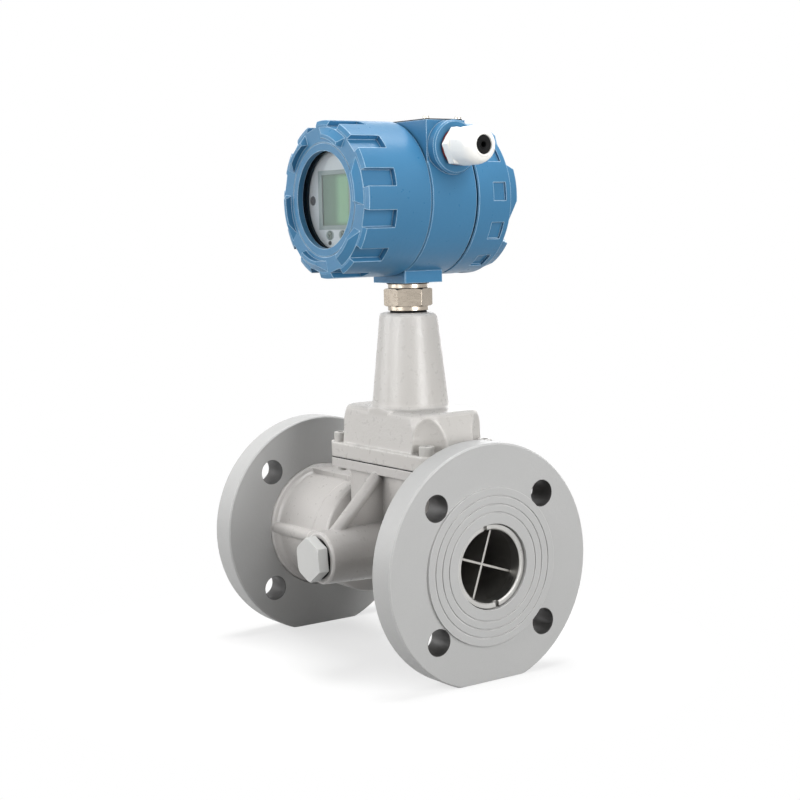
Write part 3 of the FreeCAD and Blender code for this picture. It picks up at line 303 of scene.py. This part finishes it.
def screen_material():
    """Pale green display with painted light: a painted highlight towards its right side, painted shade
    towards its frame and a faint painted glow.
    """
    g = Graph("display_green")
    split = g.add("ShaderNodeSeparateXYZ", Vector=g.coords)
    across = split.outputs["X"]
    # Painted light: darker on the left, brighter on the right.
    middle = g.span(across, (NECK_X - 16) * MM, (NECK_X - 4) * MM, 0.0, 1.0)
    right = g.span(across, (NECK_X - 2) * MM, (NECK_X + 5) * MM, 0.0, 1.0)
    tone = g.mix(middle, linear("50625a"), linear("5a6f61"))
    tone = g.mix(right, tone, linear("7f9f82"))
    # Painted shade in a band just inside the frame.
    side = g.maths("ABSOLUTE", g.maths("SUBTRACT", across, NECK_X * MM))
    rise = g.maths("ABSOLUTE", g.maths("SUBTRACT", split.outputs["Z"], HOUSING_Z * MM))
    rim = g.maths("MAXIMUM", side, g.maths("SUBTRACT", rise, 0.7 * MM))
    tone = g.mix(g.span(rim, 13.4 * MM, 16.2 * MM, 0.0, 0.6), tone, linear("46514b"))
    tone = g.mix(g.vary(g.noise(25.0, 1.0), 0.0, 0.06), tone, linear("8aa58c"))
    roughness = g.vary(g.noise(40.0, 1.0), 0.42, 0.5)
    # The faint emission is a painted glow.
    g.shade(Base_Color=tone, Roughness=roughness, Emission_Color=tone, Emission_Strength=0.08)
    return g.material


def board_material():
    """Green lacquered board with paler tracks."""
    g = Graph("board_green")
    tracks = g.add("ShaderNodeTexBrick", Vector=g.coords, Scale=160.0, Mortar_Size=0.03)
    tone = g.mix(tracks.outputs["Fac"], linear("145c34"), linear("2f8a52"))
    tone = g.mix(g.span(g.noise(40.0), 0.4, 0.6, 0.0, 0.4), tone, linear("0f4a2a"))
    normal = g.bump(tracks.outputs["Fac"], 0.2, 0.05)
    roughness = g.vary(g.noise(200.0), 0.25, 0.4)
    g.shade(Base_Color=tone, Roughness=roughness, Normal=normal)
    return g.material


def face_material():
    """Silver-grey face plate, brushed from side to side."""
    g = Graph("face_plate_silver")
    base = linear("cac6cf")
    brushed = g.noise(900.0, 3.0, 0.6, (0.05, 1.0, 1.0))
    tone = g.mix(g.vary(brushed, 0.0, 1.0), scaled(base, 0.95), scaled(base, 1.05))
    tone = g.mix(g.vary(g.noise(30.0), 0.0, 0.3), tone, scaled(base, 0.86))
    normal = g.bump(brushed, 0.15, 0.04)
    roughness = g.vary(brushed, 0.38, 0.52)
    g.shade(Base_Color=tone, Roughness=roughness, Normal=normal)
    return g.material


# In the paints the paler second colour is a painted highlight along edges, and the darkening in corners
# and seams is painted shade; dark bore and bolt-hole walls are bare metal and painted shade; the white
# plastic's glow is painted light.
MATERIALS = {
    "cast": coated("cast_grey_paint", "bcb9b6", 0.31, 1.5, 1.5, "d8d5d2", grime=0.06, speckle=0.04,
                   corner_shade=0.8, reach=28.0, bare_and_shaded=(0.0, BORE_R - 0.4, BORE_R, "3d3c3b")),
    "bonnet": coated("bonnet_grey_paint", "c1beba", 0.30, 3.0, 1.1, "e2dfdb", grime=0.06, speckle=0.04,
                     corner_shade=0.25),
    "flange": coated("flange_grey_paint", "b3b3b2", 0.44, 0.7, 0.7, "cfcecd", grime=0.05, speckle=0.08,
                     corner_shade=0.15, bare_and_shaded=(BOLT_HOLE, BOLT_HOLE_R, BOLT_HOLE_R + 0.1, "4c4b4a")),
    "plug": coated("plug_grey_paint", "c5c5c3", 0.40, 0.6, 0.4, "dcdcda", grime=0.05),
    "blue": coated("housing_blue_paint", "3f789f", 0.32, 0.8, 0.45, "b4d4ec", grime=0.08, shine=0.28,
                   corner_shade=0.5, least_highlight=0.6),
    "machined": metal("machined_steel", "b8b7b4", 0.34, 0.3, lines=(1.0, 0.12, 0.12)),
    "vane": metal("vane_steel", "a9a7a3", 0.42, 0.3),
    "bolt": coated("screw_grey", "b9b7b3", 0.40, 0.4, 0.3, "d2d0cc", grime=0.06),
    "steel": metal("small_steel", "c9c4ba", 0.30, 0.15),
    "nickel": metal("nickel_plate", "aaa093", 0.28, 0.4, lines=(0.3, 0.3, 1.0), stain=0.14,
                    scratch=0.06, corner_shade=0.9),
    "rubber": plastic("black_rubber", "0c0c0d", 0.62, 0.3, skin=0.4, spread=0.15, shine=0.15),
    "white": plastic("white_plastic", "eeede9", 0.32, 0.5, skin=0.08, spread=0.015, coat=0.2,
                     inside=0.05, glow=0.13),
    "red": plastic("red_rubber", "6e1c1c", 0.55, 0.2, skin=0.3, spread=0.1, shine=0.2),
    "glass": window_material(),
    "black": coated("black_paint", "18181a", 0.50, 0.4, 0.4, "2c2c2e", grime=0.2, shine=0.3),
    "carrier": plastic("carrier_plastic", "8f9498", 0.5, 0.4, skin=0.2),
    "bezel": plastic("bezel_plastic", "868b8f", 0.45, 0.25, skin=0.15),
    "face": face_material(),
    "screen": screen_material(),
    "key": plastic("key_plastic", "626b68", 0.45, 0.3, skin=0.15),
    "mark": plastic("mark_ink", "1b1f1f", 0.55, 0.05, skin=0.1, shine=0.2),
    "cap": plastic("dial_screw_dark", "44414a", 0.5, 0.3, skin=0.2, shine=0.25),
    "thread": coated("thread_dark", "34373a", 0.55, 0.2, 0.3, "54585b", grime=0.2, shine=0.3),
    "board": board_material(),
    "brass": metal("brass_plate", "b8975a", 0.32, 0.2),
    "terminal": plastic("terminal_plastic", "35463a", 0.5, 0.3, skin=0.2, spread=0.08),
}

# Solids that wear each material
FINISH = {
    "cast": ("meter_body", "inlet_barrel", "outlet_barrel"),
    "bonnet": ("bonnet",),
    "flange": ("inlet_flange", "outlet_flange"),
    "plug": ("boss_plug",),
    "blue": ("housing_body", "housing_front_neck", "housing_rear_neck", "front_cover", "rear_cover"),
    "machined": ("inlet_ring_nut", "outlet_ring_nut", "sensor_probe"),
    "vane": ("inlet_swirler", "flow_straightener"),
    "bolt": ("bonnet_screws",),
    "steel": ("top_plate_screws", "display_screws", "spigot_clip"),
    "nickel": ("neck_nipple", "union_nut", "swivel_bush"),
    "rubber": ("bonnet_gasket", "neck_seal", "front_cover_seal", "rear_cover_seal",
               "window_gasket", "gland_insert", "boss_washer"),
    "white": ("gland_body", "gland_cap", "blanking_plug"),
    "red": ("gland_seal_ring", "blanking_seal"),
    "glass": ("window_glass",),
    "black": ("window_ring", "top_plate"),
    "carrier": ("display_carrier",),
    "bezel": ("display_bezel",),
    "face": ("display_face_plate",),
    "screen": ("display_screen",),
    "key": ("key_1", "key_2"),
    "board": ("main_board",),
    "brass": ("display_posts", "terminal_screws"),
    "terminal": ("terminal_block",),
}
for finish, names in FINISH.items():
    for name in names:
        for place in frame["nodes"][name].material_slots:
            place.material = MATERIALS[finish]


# Places of the added pieces
def local_frame(origin, x_dir, z_dir):
    """Matrix from local millimetres to the frame's metres."""
    x = Vector(x_dir).normalized()
    z = Vector(z_dir).normalized()
    y = z.cross(x)
    turn = Matrix((x, y, z)).transposed().to_4x4()
    return Matrix.Translation(Vector(origin) * MM) @ turn @ Matrix.Scale(MM, 4)


NECK = local_frame((NECK_X, 0, 0), (1, 0, 0), (0, 0, 1))
FRONT = local_frame((NECK_X, 0, HOUSING_Z), (1, 0, 0), (0, -1, 0))
REAR = local_frame((NECK_X, 0, HOUSING_Z), (-1, 0, 0), (0, 1, 0))
GLAND = local_frame(ENTRY, (0, 1, 0), (1, 0, 0))
FACE = local_frame((NECK_X, DIAL_Y, HOUSING_Z), (1, 0, 0), (0, -1, 0))


# Mesh helpers
def sharpen(data, angle):
    """Keep edges crisp where the faces turn by the angle or more."""
    mesh = bmesh.new()
    mesh.from_mesh(data)
    for edge in mesh.edges:
        if len(edge.link_faces) == 2:
            edge.smooth = edge.calc_face_angle(0.0) < radians(angle)
    mesh.to_mesh(data)
    mesh.free()


def piece(name, mesh, place, material, body, crisp=None):
    """Finish a piece: its place, material, body, slot and crisp edges."""
    bmesh.ops.recalc_face_normals(mesh, faces=mesh.faces)
    data = bpy.data.meshes.new(name)
    mesh.to_mesh(data)
    mesh.free()
    data.transform(place)
    for face in data.polygons:
        face.use_smooth = True
    data.materials.append(MATERIALS[material])
    obj = bpy.data.objects.new(name, data)
    bpy.context.scene.collection.objects.link(obj)
    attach(obj, body)
    if crisp:
        sharpen(data, crisp)
    return obj


def corner(mesh, radius, angle, z, centre=(0.0, 0.0)):
    """New vertex at a radius and an angle about a centre."""
    x = centre[0] + radius * cos(angle)
    y = centre[1] + radius * sin(angle)
    return mesh.verts.new((x, y, z))


def turn_steps(steps):
    """Even angles round a full turn."""
    return [2 * pi * k / steps for k in range(steps)]


def skin_rings(mesh, rings, closed):
    """Faces between neighbouring rings, closed round or with a face at each end."""
    pairs = list(zip(rings, rings[1:]))
    if closed:
        pairs.append((rings[-1], rings[0]))
    for low, high in pairs:
        for k in range(len(low)):
            i = (k + 1) % len(low)
            mesh.faces.new((low[k], low[i], high[i], high[k]))
    if not closed:
        mesh.faces.new(list(reversed(rings[0])))
        mesh.faces.new(rings[-1])


def lathe(profile, steps=96, shape=None, centre=(0.0, 0.0)):
    """Closed loop of (radius, z) corners turned about local z."""
    mesh = bmesh.new()
    rings = []
    for angle in turn_steps(steps):
        ring = []
        for r, z in profile:
            radius = shape(r, z, angle) if shape else r
            ring.append(corner(mesh, radius, angle, z, centre))
        rings.append(ring)
    skin_rings(mesh, rings, True)
    bmesh.ops.remove_doubles(mesh, verts=mesh.verts, dist=1e-6)
    return mesh


def arc(r, z, radius, first, last):
    """Corners along a round, about a centre (r, z)."""
    steps = 6
    points = []
    for k in range(steps + 1):
        angle = radians(first + (last - first) * k / steps)
        points.append((r + radius * cos(angle), z + radius * sin(angle)))
    return points


def hexagon(apothem, angle):
    """Radius of a hexagon at an angle from the middle of a flat."""
    away = (angle + pi / 6) % (pi / 3) - pi / 6
    return apothem / cos(away)


def joined(meshes):
    """One mesh from several."""
    whole = bmesh.new()
    for mesh in meshes:
        data = bpy.data.meshes.new("part")
        mesh.to_mesh(data)
        mesh.free()
        whole.from_mesh(data)
        bpy.data.meshes.remove(data)
    return whole


# Cable gland
def gland_cap():
    """Smooth domed cap nut: six flats that fade into the dome."""
    foot, tip = 9.6, 30.7
    outer, rim, mouth = 12.7, 7.8, 6.2
    bore, step = 9.58, 6.62
    corner_round, lip = 0.7, 0.9
    dome_length, dome_steps = 10.0, 12
    apothem, flat_reach = 12.1, 14
    inside = 9.7
    profile = [(bore, foot)]
    profile += arc(outer - corner_round, foot + corner_round, corner_round, -90, 0)
    for k in range(dome_steps + 1):
        t = k / dome_steps
        radius = rim + (outer - rim) * sqrt(1 - (t * 0.985) ** 2)
        profile.append((radius, tip - lip - dome_length * (1 - t)))
    profile += arc(mouth + 1.0, tip - lip, lip, 10, 170)
    profile += [(mouth + 0.1, tip - 1.8), (step, tip - 1.8), (step, tip - 3.0), (bore, tip - 3.0)]

    def flats(r, z, angle):
        if r < inside or z > tip - 1:
            return r
        fade = max(0.0, min(1.0, (tip - 3 - z) / flat_reach))
        return r * (1 - fade) + min(r, hexagon(apothem, angle)) * fade

    mesh = lathe(profile, 144, flats)
    obj = piece("gland_cap_domed", mesh, GLAND, "white", "gland_cap", 40)
    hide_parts("gland_cap")


def gland_insert():
    """Rubber insert with a flat front and a small rolled lip around its cable hole."""
    back, front = 12.5, 29.7
    hole, neck, outer = 2.0, 6.1, 6.55
    lip = 0.5
    profile = [(hole, back), (outer, back), (outer, front - 1.3), (neck, front - 1.0), (neck, front - lip)]
    profile += arc(neck - lip, front - lip, lip, 0, 90)
    profile += [(hole + 1.1, front - 0.3)]
    profile += arc(hole + lip, front - lip, lip, 0, 180)
    mesh = lathe(profile)
    obj = piece("gland_insert_lipped", mesh, GLAND, "rubber", "gland_insert", 40)
    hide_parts("gland_insert")


def gland_body():
    """Gland body: six flats with chamfered corners, on its thread and spigot."""
    back, low, high = -9.0, 1.8, 9.2
    front = high + 11.0
    bore, spigot, thread, apothem = 7.25, 9.5, 10.0, 12.0
    between, chamfer, inset = 10.5, 0.9, 0.3
    turn = radians(24.0)
    wide = apothem / cos(pi / 6)
    profile = [(bore, back), (thread, back), (thread, low), (apothem - inset, low), (wide, low + chamfer)]
    profile += [(wide, high - chamfer), (apothem - inset, high), (spigot, high), (spigot, front)]
    profile += [(bore, front)]

    def flats(r, z, angle):
        return min(r, hexagon(apothem, angle - turn)) if r > between else r

    mesh = lathe(profile, 144, flats)
    obj = piece("gland_body_hexagon", mesh, GLAND, "white", "housing", 20)
    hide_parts("gland_body")


def gland_seal():
    """Thin red seal under the gland's hexagon."""
    inner, edge, middle, half = 10.05, 11.6, 11.2, 0.9
    profile = [(inner, 0.0), (edge, 0.0)]
    profile += arc(middle, half, half, -60, 60)
    profile += [(edge, 2 * half), (inner, 2 * half)]
    obj = piece("gland_seal_rounded", lathe(profile), GLAND, "red", "housing", 40)
    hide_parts("gland_seal_ring")


# Threads
def threaded_neck(name, place, seam, length, node):
    """Housing neck with a real helical thread cut into its outside."""
    steps = 120
    pitch, rows_a_pitch = 2.0, 6
    outer, inner, depth = 47.1, 43.0, 0.9
    run_in, run_out = 4.5, 0.8
    rows = int(length / pitch * rows_a_pitch)
    end = seam + length
    mesh = bmesh.new()
    rings = []
    for j in range(rows + 1):
        z = seam + length * j / rows
        full = max(0.0, min(1.0, (z - seam) / run_in, (end - z) / run_out))
        ring = []
        for k, angle in enumerate(turn_steps(steps)):
            turn = (z / pitch - k / steps) % 1.0
            cut = depth * (1 - abs(2 * turn - 1)) * full
            ring.append(corner(mesh, outer - cut, angle, z))
        rings.append(ring)
    for z in (end, seam):
        rings.append([corner(mesh, inner, angle, z) for angle in turn_steps(steps)])
    skin_rings(mesh, rings, True)
    obj = piece(name, mesh, place, "thread", "housing", 50)
    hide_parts(node)


# Small fasteners
def pan_head(x, y, seat, radius, height):
    """Pan head with a cross recess, as one closed mesh."""
    # Corners as shares of the radius and of the height, from the seat to the middle
    shares = ((1.0, 0.0), (1.0, 0.35), (0.93, 0.7), (0.74, 0.93), (0.58, 1.0), (0.38, 1.0), (0.2, 1.0))
    recess, arm, drop = 0.5, 0.13, 0.55
    mesh = bmesh.new()
    rings = []
    for across, up in shares:
        r = radius * across
        ring = []
        for angle in turn_steps(48):
            turn = (angle + pi / 4) % (pi / 2) - pi / 4
            inside = r < radius * recess and abs(r * sin(turn)) < radius * arm
            sunk = height * drop if inside else 0.0
            ring.append(corner(mesh, r, angle, seat + height * up - sunk, (x, y)))
        rings.append(ring)
    skin_rings(mesh, rings, False)
    return mesh


def top_screws():
    """Pan-head screws on the top plate."""
    half_x, half_y, plate_top = 43.0, 13.2, 295.9
    radius, height = 2.3, 2.0
    heads = []
    for x in (-half_x, half_x):
        for y in (-half_y, half_y):
            heads.append(pan_head(x, y, plate_top, radius, height))
    obj = piece("top_screw_heads", joined(heads), NECK, "steel", "housing", 35)
    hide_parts("top_plate_screws")


# Dial details
def oval(long, tall, hole=0.0):
    """Shape for lathe that widens its rings to an oval, outside a round hole."""
    def shape(r, z, angle):
        reach = long * tall / sqrt((tall * cos(angle)) ** 2 + (long * sin(angle)) ** 2)
        return r if r <= hole else hole + (r - hole) * (reach - hole) / (long - hole)
    return shape


def key_pads():
    """Low oval pads round the keys."""
    hole, long, tall, rise = 2.9, 4.7, 3.3, 0.22
    profile = [(hole, 0.0), (long, 0.0), (long, 0.1), (long - 0.25, rise), (hole + 0.2, rise), (hole, 0.1)]
    pads = [lathe(profile, 72, oval(long, tall, hole), centre) for centre in KEYS]
    piece("key_pads", joined(pads), FACE, "bezel", "housing", 30)


def arrow_head(angle, centre):
    """Small raised arrow head on a key's front."""
    outline = ((0.0, 1.7), (-1.5, -0.8), (0.0, -0.2), (1.5, -0.8))
    turn = radians(angle)
    mesh = bmesh.new()
    rings = []
    for grow, rise in ((1.0, -0.05), (1.0, 0.08), (0.85, 0.14)):
        ring = []
        for x, y in outline:
            u = grow * (x * cos(turn) - y * sin(turn))
            v = grow * (x * sin(turn) + y * cos(turn))
            ring.append(mesh.verts.new((centre[0] + u, centre[1] + v, KEY_PROUD + rise)))
        rings.append(ring)
    skin_rings(mesh, rings, False)
    return mesh


def key_marks():
    """A mark on each key, which rides on it."""
    for number, (centre, angle) in enumerate(zip(KEYS, (180.0, -90.0)), 1):
        name = "key_mark_" + str(number)
        piece(name, arrow_head(angle, centre), FACE, "mark", "key_" + str(number), 25)


def light_sensor():
    """Small dark oval lens below the first key."""
    long, tall = 1.9, 1.4
    profile = [(0.0, 0.0), (long, 0.0), (long, 0.18), (long - 0.3, 0.3), (0.0, 0.34)]
    lens = lathe(profile, 40, oval(long, tall), (-8.5, -28.8))
    piece("light_sensor_lens", lens, FACE, "rubber", "housing")


def dial_screws():
    """The face plate's two screws."""
    half, radius, height = 28.4, 3.2, 0.7
    heads = [pan_head(x, 0.0, 0.0, radius, height) for x in (-half, half)]
    obj = piece("dial_screw_heads", joined(heads), FACE, "cap", "housing", 35)
    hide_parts("display_screws")


# Swivel
def dust_seal():
    """Black ring between the swivel collar and the housing base."""
    top, depth, inner, outer = 186.68, 0.95, 13.9, 14.6
    edge = outer - 0.3
    profile = [(inner, top - depth), (edge, top - depth)]
    profile += arc(edge, top - depth / 2, depth / 2, -60, 60)
    profile += [(edge, top), (inner, top)]
    piece("swivel_dust_seal", lathe(profile), NECK, "rubber", "housing", 40)


gland_cap()
gland_insert()
gland_body()
gland_seal()
threaded_neck("front_neck_thread", FRONT, 16.0, 18.0, "housing_front_neck")
threaded_neck("rear_neck_thread", REAR, 21.5, 16.0, "housing_rear_neck")
top_screws()
key_pads()
key_marks()
light_sensor()
dial_screws()
dust_seal()


# Camera
def photo_camera():
    """Camera fitted to the flanges' ellipses in the photograph."""
    data = bpy.data.cameras.new("photo_camera")
    data.sensor_width = 36.0
    data.lens = 70.898
    data.clip_start = 0.05
    obj = bpy.data.objects.new("photo_camera", data)
    obj.location = (1.0316, -0.64035, 0.2261)
    obj.rotation_euler = (radians(83.6744), radians(1.2466), radians(54.5527))
    bpy.context.scene.collection.objects.link(obj)
    bpy.context.scene.camera = obj


# Floor and light
def floor():
    """Wide pale floor that keeps a soft shadow near the object."""
    g = Graph("studio_floor")
    seen = g.background_share()
    pale = g.mix(g.vary(g.noise(3.0), 0.0, 1.0), linear("f4f4f4"), linear("f8f8f7"))
    matt = g.add("ShaderNodeBsdfDiffuse", Color=g.mix(seen, linear("7e7e7e"), pale))
    white = g.add("ShaderNodeEmission", Strength=1.0, Color=WHITE)
    away = g.add("ShaderNodeVectorMath", {"operation": "LENGTH"})
    g.feed(away.inputs[0], g.coords)
    fade = g.span(away.outputs["Value"], 0.08, 0.25, 0.60, 1.0)
    g.blend(g.maths("MULTIPLY", seen, fade), matt, white)
    mesh = bmesh.new()
    bmesh.ops.create_grid(mesh, x_segments=8, y_segments=8, size=6.0)
    data = bpy.data.meshes.new("studio_floor")
    mesh.to_mesh(data)
    mesh.free()
    data.materials.append(g.material)
    obj = bpy.data.objects.new("studio_floor", data)
    obj.location = (0.11, -0.02, FLOOR_Z * MM - 0.0002)
    bpy.context.scene.collection.objects.link(obj)


def world():
    """White room to look at, dimmer as a light."""
    made = bpy.data.worlds.new("studio")
    made.use_nodes = True
    g = Nodes(made.node_tree)
    out = g.add("ShaderNodeOutputWorld")
    level = g.span(g.background_share(), 0.0, 1.0, 0.03, 1.0)
    back = g.add("ShaderNodeBackground", Color=WHITE, Strength=level)
    g.feed(out.inputs["Surface"], back.outputs[0])
    bpy.context.scene.world = made


def softbox(name, place, aim, width, height, power):
    """Rectangular area light turned towards a point."""
    data = bpy.data.lights.new(name, "AREA")
    data.shape = "RECTANGLE"
    data.size = width
    data.size_y = height
    data.energy = power
    obj = bpy.data.objects.new(name, data)
    obj.location = place
    way = Vector(place) - Vector(aim)
    obj.rotation_euler = way.to_track_quat("Z", "Y").to_euler()
    bpy.context.scene.collection.objects.link(obj)


# Middle of the object, in metres
CENTRE = (0.13, 0.0, 0.1)

photo_camera()
floor()
world()
softbox("key_left", (-0.75, -1.25, 0.55), CENTRE, 0.9, 1.0, 12.5)
softbox("key_front", (0.25, -0.95, 0.38), (0.14, -0.06, 0.22), 0.5, 0.5, 4.6)
softbox("overhead", (0.0, 0.25, 1.7), CENTRE, 1.1, 1.1, 33.0)
softbox("fill_right_low", (1.6, 0.1, 0.05), (0.2, 0.0, 0.0), 0.6, 0.6, 14.0)
softbox("fill_right_high", (1.5, 0.1, 0.9), CENTRE, 0.7, 0.7, 10.0)
softbox("back", (-0.9, 1.3, 0.5), CENTRE, 0.9, 0.9, 6.0)

bpy.context.scene.view_settings.view_transform = "Standard"
